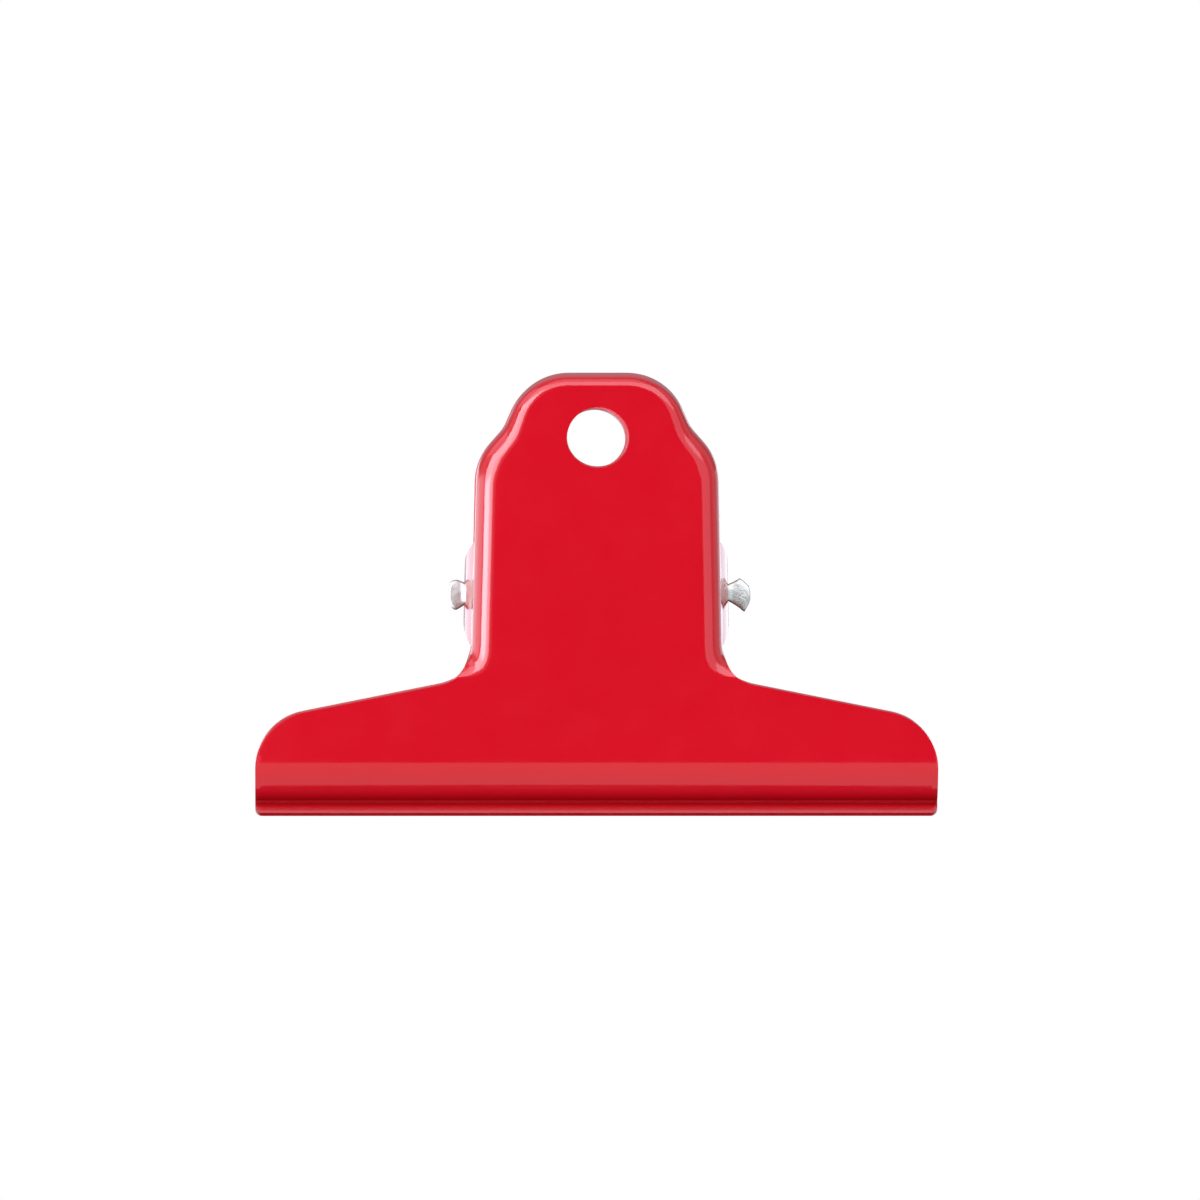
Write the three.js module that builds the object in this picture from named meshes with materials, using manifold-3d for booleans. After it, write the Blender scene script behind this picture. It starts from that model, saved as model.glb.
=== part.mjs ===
// A letter clip of lacquered sheet steel: two pressed plates, a hammered wire pin and a torsion
// spring. Millimetres, +Z up. The front handle faces -Y, the pin runs along X, and the jaw's lips
// stand on Z = 0. Heights are measured above the lips' edges.
import * as THREE from 'three';
import { mergeVertices } from 'three/addons/utils/BufferGeometryUtils.js';
import Module from 'manifold-3d';

const wasm = await Module();
wasm.setup();

// Sheet and stance
const clipWidth = 60; // jaw, end to end
const sheet = 0.6; // thickness of both plates
const plateTilt = THREE.MathUtils.degToRad(13); // lean of each handle from upright
const pinHeight = 19.6;
const pinToFace = 7; // pin axis to a plate's outer face, square to the face

// Handle outline: its corners' half widths, drops below the head and the radii that round them
const headHeight = 38.9;
const headHalfWidth = 6;
const headRadius = 5.3;
const neckDrop = 4.75;
const neckHalfWidth = 8.15;
const neckRadius = 3;
const shoulderDrop = 7.5;
const shoulderHalfWidth = 10.6;
const shoulderRadius = 5.5;
const rootHeight = 12.2;
const rootHalfWidth = 11.05;
const rootRadius = 3.5;

// Wings
const wingTipHeight = 8.4;
const wingRadius = 5.2;
const lipCornerRadius = 0.6;

// Rolled rim round the handle
const bendRadius = 1.75; // outside of the bend, up to the shoulders
const headBendRadius = 0.8; // and across the top of the head
const rimDepth = 2.4; // face to the rim's free edge
const fadeLength = 2; // height over which the rim dies out at the wings
const trayTail = 3.5; // the handle's pressing goes on this far inside the wings
const wingOverlap = 5.2; // and the wings' sheet this far up inside the handle

// Jaw section
const jawGap = 0.24; // between the closed jaws, along their line of contact
const contactHeight = 1.25;
const beadRadius = 5;
const creaseRadius = 0.2;
const lipFlare = THREE.MathUtils.degToRad(28);

// Hanging hole
const holeDrop = 5.7; // its middle, below the head
const holeRadius = 2.7;

// Ears
const earHalfHeight = 4.8; // where an ear leaves the rim
const earRise = 0.9; // the middle of that place, above the pin along the handle
const earTipRadius = 2.6;
const outerEarSet = 0.7; // the front plate's ears stand outwards by this much
const innerEarSet = 0.4; // and the rear plate's inwards

// Pin
const pinRadius = 0.74;
const pinClearance = 0.09;
const paddleThickness = 0.6;
const paddleClearance = 0.1; // each paddle's neck to the outer ear beside it

// Spring
const springWire = 1.2;
const springRadius = 2.2; // to the middle of the wire
const springPitch = 1.75;
const springLoops = 8; // less the part turn that the two legs leave out
const legReach = 9; // height of the leg tips above the pin, along the handle
const seatGap = 0.3; // leg tips to the handles

// Fineness of curves
const arcStep = THREE.MathUtils.degToRad(11);
const bendSteps = 5;
const earSteps = 6;
const holeSides = 32;
const coilSteps = 8;
const wireSides = 5;
const cornerShare = 0.98; // most of an edge that one rounded corner may take

const lacquer = new THREE.MeshStandardMaterial({ color: 0xdc1a2e, roughness: 0.16, metalness: 0 });
const plating = new THREE.MeshStandardMaterial({ color: 0xc9c8c4, roughness: 0.32, metalness: 1 });
const springSteel = new THREE.MeshStandardMaterial({ color: 0xb4b4b2, roughness: 0.3, metalness: 1 });

// A plate is drawn upright about the pin axis: X across, Y behind it, Z up along the handle.
// It is leant by plateTilt and lifted to pinHeight only when it is placed.
const face = -pinToFace;
const back = face + sheet;
const rimEdge = face + rimDepth;

function upAlongPlate(height, depth) {
  return (height - pinHeight - depth * Math.sin(plateTilt)) / Math.cos(plateTilt);
}

function leant(depth, up) {
  const y = depth * Math.cos(plateTilt) - up * Math.sin(plateTilt);
  const z = depth * Math.sin(plateTilt) + up * Math.cos(plateTilt);
  return [y, z];
}

// Points of a closed outline from its corners [x, y, radius], radius 0 staying sharp
function roundedOutline(corners) {
  const sharp = corners.map(([x, y]) => new THREE.Vector2(x, y));
  return corners.flatMap(([, , radius], i) => {
    const corner = sharp[i];
    if (!radius) return [corner];
    const before = sharp[(i + sharp.length - 1) % sharp.length].clone().sub(corner);
    const after = sharp[(i + 1) % sharp.length].clone().sub(corner);
    const room = Math.min(before.length(), after.length()) * cornerShare;
    before.normalize();
    after.normalize();
    const half = Math.acos(before.dot(after)) / 2;
    const fitted = Math.min(radius, room * Math.tan(half));
    const inward = before.clone().add(after).normalize();
    const centre = corner.clone().addScaledVector(inward, fitted / Math.sin(half));
    const sweep = Math.PI - 2 * half;
    const side = Math.sign(before.cross(after));
    const start = Math.atan2(-inward.y, -inward.x) + side * sweep / 2;
    const steps = Math.max(2, Math.ceil(sweep / arcStep));
    return Array.from({ length: steps + 1 }, (_, k) => {
      const angle = start - side * sweep * k / steps;
      return new THREE.Vector2(Math.cos(angle), Math.sin(angle)).multiplyScalar(fitted).add(centre);
    });
  });
}

// The left half of a symmetric outline follows from its right half
function bothSides(rightHalf) {
  const leftHalf = rightHalf.map(([x, y, radius]) => [-x, y, radius]).reverse();
  return [...rightHalf, ...leftHalf];
}

function solidOf(geometry) {
  geometry.deleteAttribute('normal');
  geometry.deleteAttribute('uv');
  const merged = mergeVertices(geometry);
  return new wasm.Manifold(new wasm.Mesh({
    numProp: 3,
    vertProperties: new Float32Array(merged.getAttribute('position').array),
    triVerts: new Uint32Array(merged.getIndex().array),
  }));
}

function geometryOf(solid) {
  const mesh = solid.getMesh();
  const geometry = new THREE.BufferGeometry();
  geometry.setAttribute('position', new THREE.BufferAttribute(mesh.vertProperties, 3));
  geometry.setIndex(new THREE.BufferAttribute(mesh.triVerts, 1));
  geometry.computeVertexNormals();
  return geometry;
}

// An outline of X and Z, extruded from one depth to a deeper one
function acrossPlate(outline, near, far) {
  const shape = new THREE.Shape(outline);
  const geometry = new THREE.ExtrudeGeometry(shape, { depth: far - near, bevelEnabled: false });
  geometry.rotateX(Math.PI / 2);
  geometry.translate(0, far, 0);
  return solidOf(geometry);
}

// Outside radius of the rim's bend at a height: it tightens from the shoulders to the head
function bendAt(up) {
  const low = upAlongPlate(headHeight - shoulderDrop, rimEdge);
  const high = upAlongPlate(headHeight, rimEdge);
  const share = THREE.MathUtils.clamp((up - low) / (high - low), 0, 1);
  return THREE.MathUtils.lerp(bendRadius, headBendRadius, share);
}

// A solid tray blank: the outline extruded well past the rim's depth, its near edge rounded to the
// rim's bend less a thickness
function roundedTray(outline, near, thickness) {
  const radii = outline.map(({ y }) => bendAt(y) - thickness);
  const rings = Array.from({ length: bendSteps + 1 }, (_, k) => {
    const turn = Math.PI / 2 * k / bendSteps;
    const points = insetOutline(outline, radii.map((radius) => radius * (1 - Math.sin(turn))));
    const depths = radii.map((radius) => near + radius * (1 - Math.cos(turn)));
    return { points, depths };
  });
  rings.push({ points: outline, depths: radii.map(() => near + 2 * rimDepth) });
  const count = outline.length;
  const positions = rings.flatMap(({ points, depths }) => (
    points.flatMap(({ x, y }, i) => [x, depths[i], y])
  ));
  const index = [];
  for (let i = 0; i + 1 < rings.length; i += 1) {
    for (let k = 0; k < count; k += 1) {
      const here = i * count + k;
      const next = i * count + (k + 1) % count;
      index.push(here, next + count, next, here, here + count, next + count);
    }
  }
  const far = (rings.length - 1) * count;
  for (const [a, b, c] of THREE.ShapeUtils.triangulateShape(rings[0].points, [])) index.push(a, b, c);
  for (const [a, b, c] of THREE.ShapeUtils.triangulateShape(outline, [])) {
    index.push(far + c, far + b, far + a);
  }
  const geometry = new THREE.BufferGeometry();
  geometry.setAttribute('position', new THREE.Float32BufferAttribute(positions, 3));
  geometry.setIndex(index);
  return solidOf(geometry);
}

// An outline drawn in by a distance at each point, along the bisector of its two edges
function insetOutline(outline, distances) {
  return outline.map((point, i) => {
    const before = outline[(i + outline.length - 1) % outline.length];
    const after = outline[(i + 1) % outline.length];
    const first = point.clone().sub(before).normalize();
    const second = after.clone().sub(point).normalize();
    const bisector = new THREE.Vector2(-first.y - second.y, first.x + second.x).normalize();
    const stretch = bisector.dot(new THREE.Vector2(-first.y, first.x));
    return point.clone().addScaledVector(bisector, distances[i] / stretch);
  });
}

// An outline of Y and Z, extruded along X from one place to another
function alongPin(outline, from, to) {
  const shape = new THREE.Shape(outline);
  const geometry = new THREE.ExtrudeGeometry(shape, { depth: to - from, bevelEnabled: false });
  const yAxis = new THREE.Vector3(0, 1, 0);
  const zAxis = new THREE.Vector3(0, 0, 1);
  const xAxis = new THREE.Vector3(1, 0, 0);
  geometry.applyMatrix4(new THREE.Matrix4().makeBasis(yAxis, zAxis, xAxis));
  geometry.translate(from, 0, 0);
  return solidOf(geometry);
}

function rodAlongPin(radius, from, to) {
  const geometry = new THREE.CylinderGeometry(radius, radius, to - from, holeSides);
  geometry.rotateZ(Math.PI / 2);
  geometry.translate((from + to) / 2, 0, 0);
  return solidOf(geometry);
}

// The wing's top edge runs straight from the handle's root to the wing's tip corner
const root = { x: rootHalfWidth, z: upAlongPlate(rootHeight, back) };
const wingTip = { x: clipWidth / 2, z: upAlongPlate(wingTipHeight, back) };
const wingSlope = Math.atan2(root.z - wingTip.z, wingTip.x - root.x);
const rootHalfAngle = (Math.PI / 2 - wingSlope) / 2;
const rootReach = rootRadius * Math.tan(rootHalfAngle);
const rimEnd = {
  x: root.x + rootReach * Math.cos(wingSlope),
  z: root.z - rootReach * Math.sin(wingSlope),
};

// The handle's outline goes a little way on along the wings, which cover its square end
function handleOutline() {
  const cornerX = rimEnd.x + trayTail * Math.cos(wingSlope);
  const cornerZ = rimEnd.z - trayTail * Math.sin(wingSlope);
  return roundedOutline(bothSides([
    [cornerX, cornerZ - trayTail, 0],
    [cornerX, cornerZ, 0],
    [root.x, root.z, rootRadius],
    [shoulderHalfWidth, upAlongPlate(headHeight - shoulderDrop, rimEdge), shoulderRadius],
    [neckHalfWidth, upAlongPlate(headHeight - neckDrop, rimEdge), neckRadius],
    [headHalfWidth, upAlongPlate(headHeight, rimEdge), headRadius],
  ]));
}

// The rim is cut to its depth, and dies out over the fillet that joins handle and wing
function rimTrim() {
  const high = upAlongPlate(headHeight, rimEdge) + sheet;
  const low = rimEnd.z - 2 * trayTail - sheet;
  const fadeTop = rimEnd.z + fadeLength;
  const outline = [
    [face - sheet, low], [back, low], [back, rimEnd.z], [rimEdge, fadeTop], [rimEdge, high],
    [face - sheet, high],
  ].map(([y, z]) => new THREE.Vector2(y, z));
  return alongPin(outline, -clipWidth, clipWidth);
}

function handleTray() {
  const outline = handleOutline();
  const outside = roundedTray(outline, face, 0);
  const hollow = roundedTray(insetOutline(outline, outline.map(() => sheet)), back, sheet);
  return outside.subtract(hollow).intersect(rimTrim());
}

// Section of the jaw from the flat handle down: bead, crease and lip, outer line then inner line
function jawSection(top) {
  const creaseY = -(jawGap / 2 + sheet + creaseRadius);
  const creaseZ = contactHeight - pinHeight;
  const crease = new THREE.Vector2(
    creaseY * Math.cos(plateTilt) + creaseZ * Math.sin(plateTilt),
    -creaseY * Math.sin(plateTilt) + creaseZ * Math.cos(plateTilt),
  );
  const reach = beadRadius + creaseRadius;
  const beadSweep = Math.acos((beadRadius - (crease.x - face)) / reach);
  const bead = new THREE.Vector2(face + beadRadius, crease.y + reach * Math.sin(beadSweep));
  const lipTurn = -(lipFlare + plateTilt);
  const lipFall = contactHeight - (creaseRadius + sheet) * Math.sin(lipFlare);
  const lipLength = lipFall / Math.cos(lipFlare);
  const outward = (turn) => new THREE.Vector2(-Math.cos(turn), -Math.sin(turn));
  const stations = [[new THREE.Vector2(face, top), outward(0)]];
  const beadSteps = Math.ceil(beadSweep / arcStep);
  for (let k = 0; k <= beadSteps; k += 1) {
    const normal = outward(beadSweep * k / beadSteps);
    stations.push([bead.clone().addScaledVector(normal, beadRadius), normal]);
  }
  const creaseSteps = Math.ceil((beadSweep - lipTurn) / (2 * arcStep));
  for (let k = 1; k <= creaseSteps; k += 1) {
    const normal = outward(beadSweep + (lipTurn - beadSweep) * k / creaseSteps);
    stations.push([crease.clone().addScaledVector(normal, -creaseRadius), normal]);
  }
  const [lipStart, lipNormal] = stations[stations.length - 1];
  const lipWay = new THREE.Vector2(Math.sin(lipTurn), -Math.cos(lipTurn));
  stations.push([lipStart.clone().addScaledVector(lipWay, lipLength), lipNormal]);
  const outer = stations.map(([point]) => point);
  const inner = stations.map(([point, normal]) => point.clone().addScaledVector(normal, -sheet));
  return [...outer, ...inner.reverse()];
}

function wingsAndJaw() {
  const top = root.z + wingOverlap;
  const section = jawSection(top);
  const bottom = Math.min(...section.map((point) => point.y));
  const innerHalfWidth = root.x - bendRadius;
  const innerRoot = root.z + bendRadius * Math.tan(wingSlope);
  const innerRadius = (rootReach + bendRadius / Math.cos(wingSlope)) / Math.tan(rootHalfAngle);
  const outline = roundedOutline(bothSides([
    [clipWidth / 2, bottom, lipCornerRadius],
    [wingTip.x, wingTip.z, wingRadius],
    [innerHalfWidth, innerRoot, innerRadius],
    [innerHalfWidth, top, 0],
  ]));
  const blank = acrossPlate(outline, face - sheet, 0);
  return alongPin(section, -clipWidth, clipWidth).intersect(blank);
}

// Side outline of an ear: from the rim, tangent above and below to the round end about the pin
function earOutline() {
  const rootDepth = face + bendRadius;
  const top = earRise + earHalfHeight;
  const bottom = earRise - earHalfHeight;
  const slope = (up) => {
    const towardsPin = Math.atan2(Math.abs(up), -rimEdge);
    return Math.tan(towardsPin - Math.asin(earTipRadius / Math.hypot(rimEdge, up)));
  };
  const reach = (top - bottom) / (slope(top) + slope(bottom));
  return roundedOutline([
    [rootDepth, bottom, 0],
    [rimEdge, bottom, 0],
    [rimEdge + reach, bottom + slope(bottom) * reach, earTipRadius],
    [rimEdge, top, 0],
    [rootDepth, top, 0],
  ]);
}

// Both ears of a plate: strips that swell out (or in) from the rim, cut to that outline
function ears(set) {
  const outline = earOutline();
  const rootDepth = Math.min(...outline.map(({ x }) => x));
  const tipDepth = Math.max(...outline.map(({ x }) => x));
  const top = Math.max(...outline.map(({ y }) => y));
  const bottom = Math.min(...outline.map(({ y }) => y));
  const outer = Array.from({ length: earSteps + 1 }, (_, k) => {
    const swell = Math.sin(Math.PI / 2 * k / earSteps) * set;
    return new THREE.Vector2(earWidth() + swell, rimEdge * (1 - k / earSteps));
  });
  outer.unshift(new THREE.Vector2(earWidth(), rootDepth));
  outer.push(new THREE.Vector2(earWidth() + set, tipDepth + sheet));
  const inner = outer.map((point) => new THREE.Vector2(point.x - sheet, point.y)).reverse();
  return [1, -1].map((side) => {
    const strip = [...outer, ...inner].map((point) => new THREE.Vector2(side * point.x, point.y));
    const geometry = new THREE.ExtrudeGeometry(new THREE.Shape(strip), {
      depth: top - bottom,
      bevelEnabled: false,
    });
    geometry.translate(0, 0, bottom);
    const swollen = solidOf(geometry);
    return swollen.intersect(alongPin(outline, -clipWidth, clipWidth));
  });
}

// Half width of the handle, outside, at the height of the pin
function earWidth() {
  const shoulderZ = upAlongPlate(headHeight - shoulderDrop, rimEdge);
  const share = -root.z / (shoulderZ - root.z);
  return root.x + (shoulderHalfWidth - root.x) * share;
}

function plate(earSet) {
  const [right, left] = ears(earSet);
  const holeUp = upAlongPlate(headHeight - holeDrop, face);
  const hole = new THREE.CylinderGeometry(holeRadius, holeRadius, 4 * rimDepth, holeSides);
  hole.translate(0, face, holeUp);
  const pinHole = rodAlongPin(pinRadius + pinClearance, -clipWidth, clipWidth);
  const solid = handleTray()
    .add(wingsAndJaw())
    .add(right)
    .add(left)
    .subtract(solidOf(hole))
    .subtract(pinHole);
  return geometryOf(solid);
}

// Hammered ends of the pin, each an irregular fan: distance out from its neck and height over the
// axis, both in pin radii
const rightPaddle = [
  [0, 1], [1.2, 1.8], [2.3, 0.86], [2.5, -0.8], [1.8, -2.2], [0.55, -1.16], [0, -1],
];
const leftPaddle = [
  [0, 1.25], [0.6, 1.55], [1.1, 1.6], [1.65, 1.1], [1.7, -1.1], [1.15, -1.95], [0.6, -1.8], [0, -1.4],
];

function paddle(outline, neck, side) {
  const points = outline.map(([out, up]) => (
    new THREE.Vector2(side * (neck + out * pinRadius), up * pinRadius)
  ));
  return acrossPlate(points, -paddleThickness / 2, paddleThickness / 2);
}

function pin() {
  const neck = earWidth() + outerEarSet + paddleClearance;
  const inPaddle = neck + paddleThickness / 2;
  const solid = rodAlongPin(pinRadius, -inPaddle, inPaddle)
    .add(paddle(rightPaddle, neck, 1))
    .add(paddle(leftPaddle, neck, -1));
  return geometryOf(solid);
}

// Middle line of the spring wire: front leg, coil, rear leg. Side on, the wire comes down the
// front leg, meets the coil's front, winds round and leaves its rear side up to the other handle.
function springPath() {
  const tipDepth = back + springWire / 2 + seatGap;
  const [tipY, tipZ] = leant(tipDepth, legReach);
  const tipDistance = Math.hypot(tipY, tipZ);
  const opening = Math.acos(springRadius / tipDistance);
  const start = Math.atan2(tipZ, tipY) + opening;
  const end = Math.PI - start + 2 * Math.PI * springLoops;
  const steps = Math.round((end - start) / (2 * Math.PI) * coilSteps);
  const coilLength = springPitch * (end - start) / (2 * Math.PI);
  const coil = Array.from({ length: steps + 1 }, (_, k) => {
    const angle = start + (end - start) * k / steps;
    const x = coilLength * (k / steps - 0.5);
    return new THREE.Vector3(x, springRadius * Math.cos(angle), springRadius * Math.sin(angle));
  });
  return [
    new THREE.Vector3(-coilLength / 2, tipY, tipZ),
    ...coil,
    new THREE.Vector3(coilLength / 2, -tipY, tipZ),
  ];
}

// One unbroken tube of wireSides sides along the path, with flat ends
function wireAlong(path) {
  const positions = [];
  const index = [];
  path.forEach((point, i) => {
    const ahead = path[Math.min(i + 1, path.length - 1)];
    const behind = path[Math.max(i - 1, 0)];
    const way = ahead.clone().sub(behind).normalize();
    const side = new THREE.Vector3(1, 0, 0).projectOnPlane(way).normalize();
    const up = way.clone().cross(side);
    for (let k = 0; k < wireSides; k += 1) {
      const angle = 2 * Math.PI * k / wireSides;
      const rim = point.clone()
        .addScaledVector(side, springWire / 2 * Math.cos(angle))
        .addScaledVector(up, springWire / 2 * Math.sin(angle));
      positions.push(...rim.toArray());
    }
  });
  for (let i = 0; i + 1 < path.length; i += 1) {
    for (let k = 0; k < wireSides; k += 1) {
      const next = (k + 1) % wireSides;
      const near = i * wireSides;
      const far = near + wireSides;
      index.push(near + k, near + next, far + next, near + k, far + next, far + k);
    }
  }
  const last = (path.length - 1) * wireSides;
  for (let k = 1; k + 1 < wireSides; k += 1) {
    index.push(0, k + 1, k, last, last + k, last + k + 1);
  }
  const geometry = new THREE.BufferGeometry();
  geometry.setAttribute('position', new THREE.Float32BufferAttribute(positions, 3));
  geometry.setIndex(index);
  geometry.computeVertexNormals();
  return geometry;
}

// Least clear space between parts of the wire that are not neighbours along it
function leastGap(path) {
  const curve = new THREE.CurvePath();
  for (let i = 0; i + 1 < path.length; i += 1) {
    curve.add(new THREE.LineCurve3(path[i], path[i + 1]));
  }
  const spacing = springWire / 4;
  const samples = curve.getSpacedPoints(Math.ceil(curve.getLength() / spacing));
  const neighbours = Math.ceil(Math.PI * springWire / spacing);
  let least = Infinity;
  samples.forEach((point, i) => {
    for (let j = i + neighbours; j < samples.length; j += 1) {
      least = Math.min(least, point.distanceTo(samples[j]) - springWire);
    }
  });
  return least;
}

function named(name, geometry, material) {
  const mesh = new THREE.Mesh(geometry, material);
  mesh.name = name;
  return mesh;
}

const clip = new THREE.Group();
clip.position.z = pinHeight;

const frontPlate = named('front_plate', plate(outerEarSet), lacquer);
frontPlate.rotation.x = plateTilt;
clip.add(frontPlate);

const rearHalf = new THREE.Group();
rearHalf.rotation.z = Math.PI;
const rearPlate = named('rear_plate', plate(-innerEarSet), lacquer);
rearPlate.rotation.x = plateTilt;
rearHalf.add(rearPlate);
clip.add(rearHalf);

clip.add(named('pivot_pin', pin(), plating));

const path = springPath();
clip.add(named('torsion_spring', wireAlong(path), springSteel));
console.log(`torsion_spring: least gap to itself ${leastGap(path).toFixed(2)} mm`);

export default clip;
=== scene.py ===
import math

import bmesh
import bpy
from mathutils import Matrix, Vector
from mathutils.geometry import delaunay_2d_cdt


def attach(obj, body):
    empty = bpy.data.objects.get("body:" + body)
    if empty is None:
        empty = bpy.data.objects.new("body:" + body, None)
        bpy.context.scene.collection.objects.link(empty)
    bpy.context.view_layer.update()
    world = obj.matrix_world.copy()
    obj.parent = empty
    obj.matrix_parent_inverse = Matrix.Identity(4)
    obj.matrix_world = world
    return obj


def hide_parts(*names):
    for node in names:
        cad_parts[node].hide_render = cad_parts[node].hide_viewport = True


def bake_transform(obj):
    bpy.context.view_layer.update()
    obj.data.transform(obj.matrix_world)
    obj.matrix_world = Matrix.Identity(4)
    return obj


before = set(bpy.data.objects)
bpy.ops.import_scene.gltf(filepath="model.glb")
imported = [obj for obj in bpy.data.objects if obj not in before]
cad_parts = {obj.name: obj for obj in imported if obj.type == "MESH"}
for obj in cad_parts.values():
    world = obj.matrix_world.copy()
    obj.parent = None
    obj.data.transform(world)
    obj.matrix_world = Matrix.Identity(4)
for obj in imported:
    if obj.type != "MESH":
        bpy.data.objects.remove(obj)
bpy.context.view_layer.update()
mm = 0.001


# Shader sockets that can be added, multiplied and so on, and the nodes they come from
class Wire:
    def __init__(self, tree, socket):
        self.tree = tree
        self.socket = socket

    def math(self, operation, *others, clamp=False):
        node = self.tree.nodes.new("ShaderNodeMath")
        node.operation = operation
        node.use_clamp = clamp
        for slot, value in zip(node.inputs, (self,) + others):
            join(self.tree, slot, value)
        return Wire(self.tree, node.outputs[0])

    def __add__(self, other):
        return self.math("ADD", other)

    def __sub__(self, other):
        return self.math("SUBTRACT", other)

    def __mul__(self, other):
        return self.math("MULTIPLY", other)

    def __neg__(self):
        return self.math("MULTIPLY", -1.0)

    def __radd__(self, other):
        return self.math("ADD", other)

    def __rmul__(self, other):
        return self.math("MULTIPLY", other)

    def __rsub__(self, other):
        return (-self).math("ADD", other)

    def clamped(self):
        return self.math("ADD", 0.0, clamp=True)

    def over(self, low, high):
        return (self - low).math("DIVIDE", high - low, clamp=True)

    def between(self, first, second):
        mix = self.tree.nodes.new("ShaderNodeMix")
        mix.data_type = "RGBA"
        join(self.tree, mix.inputs[0], self)
        join(self.tree, mix.inputs[6], first)
        join(self.tree, mix.inputs[7], second)
        return Wire(self.tree, mix.outputs[2])

    def scaledBy(self, factors):
        node = self.tree.nodes.new("ShaderNodeVectorMath")
        node.operation = "MULTIPLY"
        join(self.tree, node.inputs[0], self)
        join(self.tree, node.inputs[1], factors)
        return Wire(self.tree, node.outputs[0])


def join(tree, slot, value):
    if isinstance(value, Wire):
        tree.links.new(value.socket, slot)
    elif isinstance(value, tuple) and slot.type == "RGBA" and len(value) == 3:
        slot.default_value = (*value, 1.0)
    else:
        slot.default_value = value


class Shader:
    def __init__(self, name):
        self.material = bpy.data.materials.new(name)
        self.material.use_nodes = True
        self.tree = self.material.node_tree
        self.tree.nodes.clear()

    def node(self, kind, settings=None, inputs=None, output=0):
        made = self.tree.nodes.new("ShaderNode" + kind)
        for name, value in (settings or {}).items():
            setattr(made, name, value)
        for name, value in (inputs or {}).items():
            join(self.tree, made.inputs[name], value)
        return Wire(self.tree, made.outputs[output])

    def place(self):
        return self.node("TexCoord", output="Object")

    def noise(self, scale, detail=2.0, roughness=0.5, where=None):
        inputs = {"Vector": where or self.place(), "Scale": scale, "Detail": detail, "Roughness": roughness}
        return self.node("TexNoise", inputs=inputs)

    def bump(self, height, depth, under=None):
        inputs = {"Height": height, "Distance": depth}
        if under:
            inputs["Normal"] = under
        return self.node("Bump", inputs=inputs, output="Normal")

    def height(self, direction):
        return self.node("SeparateXYZ", inputs={"Vector": direction}, output="Z")

    def finish(self, surface):
        out = self.tree.nodes.new("ShaderNodeOutputMaterial")
        self.tree.links.new(surface.socket, out.inputs["Surface"])
        return self.material


# Red stoved lacquer: a hint of orange peel and a few dust nibs, with painted shade darkening the jaw's crease
# and, at half strength, the lip below it
lacquer = {
    "colour": (0.77, 0.0045, 0.02),
    "deep": (0.74, 0.0036, 0.017),
    "toneScale": 70.0,
    "toneSpan": (0.3, 0.7),
    "roughness": 0.11,
    "roughnessSpread": 0.05,
    "hazeScale": 260.0,
    "hazeSpan": (0.35, 0.75),
    "peelScale": 900.0,
    "peelDepth": 0.0000022,
    "nibScale": 620.0,
    "nibWidth": 0.09,
    "nibDepth": 0.000012,
    "nibGroups": 210.0,
    "nibGroupSpan": (0.6, 0.64),
    # painted shade: the dark colour mixed over the jaw's crease and, at half strength, over the lip
    "crease": (0.28, 0.0025, 0.004),
    "creaseShadeShare": 0.92,
    "shadeAboveCrease": (0.0023, 0.0012),
    "shadeBelowCrease": (0.00075, 0.0011),
    "lipShadeShare": 0.5,
}


def lacquerFinish():
    shader = Shader("stoved_lacquer")
    broad = shader.noise(lacquer["toneScale"], detail=3.0)
    tone = broad.over(*lacquer["toneSpan"]).between(lacquer["deep"], lacquer["colour"])
    haze = shader.noise(lacquer["hazeScale"], detail=4.0, roughness=0.6)
    roughness = haze.over(*lacquer["hazeSpan"]) * lacquer["roughnessSpread"] + lacquer["roughness"]
    peel = shader.noise(lacquer["peelScale"], detail=1.0)
    peelNormal = shader.bump(peel, lacquer["peelDepth"])
    cells = {"Vector": shader.place(), "Scale": lacquer["nibScale"]}
    nibs = 1.0 - shader.node("TexVoronoi", inputs=cells).over(0.0, lacquer["nibWidth"])
    sparse = shader.noise(lacquer["nibGroups"], detail=0.0).over(*lacquer["nibGroupSpan"])
    normal = shader.bump(nibs * sparse, lacquer["nibDepth"], under=peelNormal)
    surface = {"Base Color": tone, "Roughness": roughness, "IOR": 1.5, "Normal": normal}
    gloss = shader.node("BsdfPrincipled", inputs=surface)
    # Painted shade: low on the jaw the gloss gives way to a dark diffuse, fully in the crease and half on the
    # lip
    height = shader.height(shader.place())
    lip = height.over(*lacquer["shadeBelowCrease"]) * (1.0 - lacquer["lipShadeShare"]) + lacquer["lipShadeShare"]
    paintedCreaseShade = height.over(*lacquer["shadeAboveCrease"]) * lip * lacquer["creaseShadeShare"]
    # the dark diffuse of the painted crease shade
    thick = shader.node("BsdfDiffuse", inputs={"Color": lacquer["crease"]})
    return shader.finish(shader.node("MixShader", inputs={0: paintedCreaseShade, 1: gloss, 2: thick}))


# Bright plated wire: fine drawing lines along it, darker in the hammered hollows, with painted shade on the
# faces that look down
plating = {
    "colour": (0.4, 0.375, 0.348),
    "dull": (0.35, 0.326, 0.302),
    "roughness": 0.36,
    "drawScale": (60.0, 2600.0, 2600.0),
    "drawDepth": 0.000006,
    "drawSpread": 0.14,
    "dentScale": 1700.0,
    "dentDepth": 0.00005,
    "dentSpan": (0.35, 0.6),
    "undersideShade": (0.04, 0.012, 0.012),
    "undersideShadeSpan": (-0.45, -0.8),
}


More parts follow.
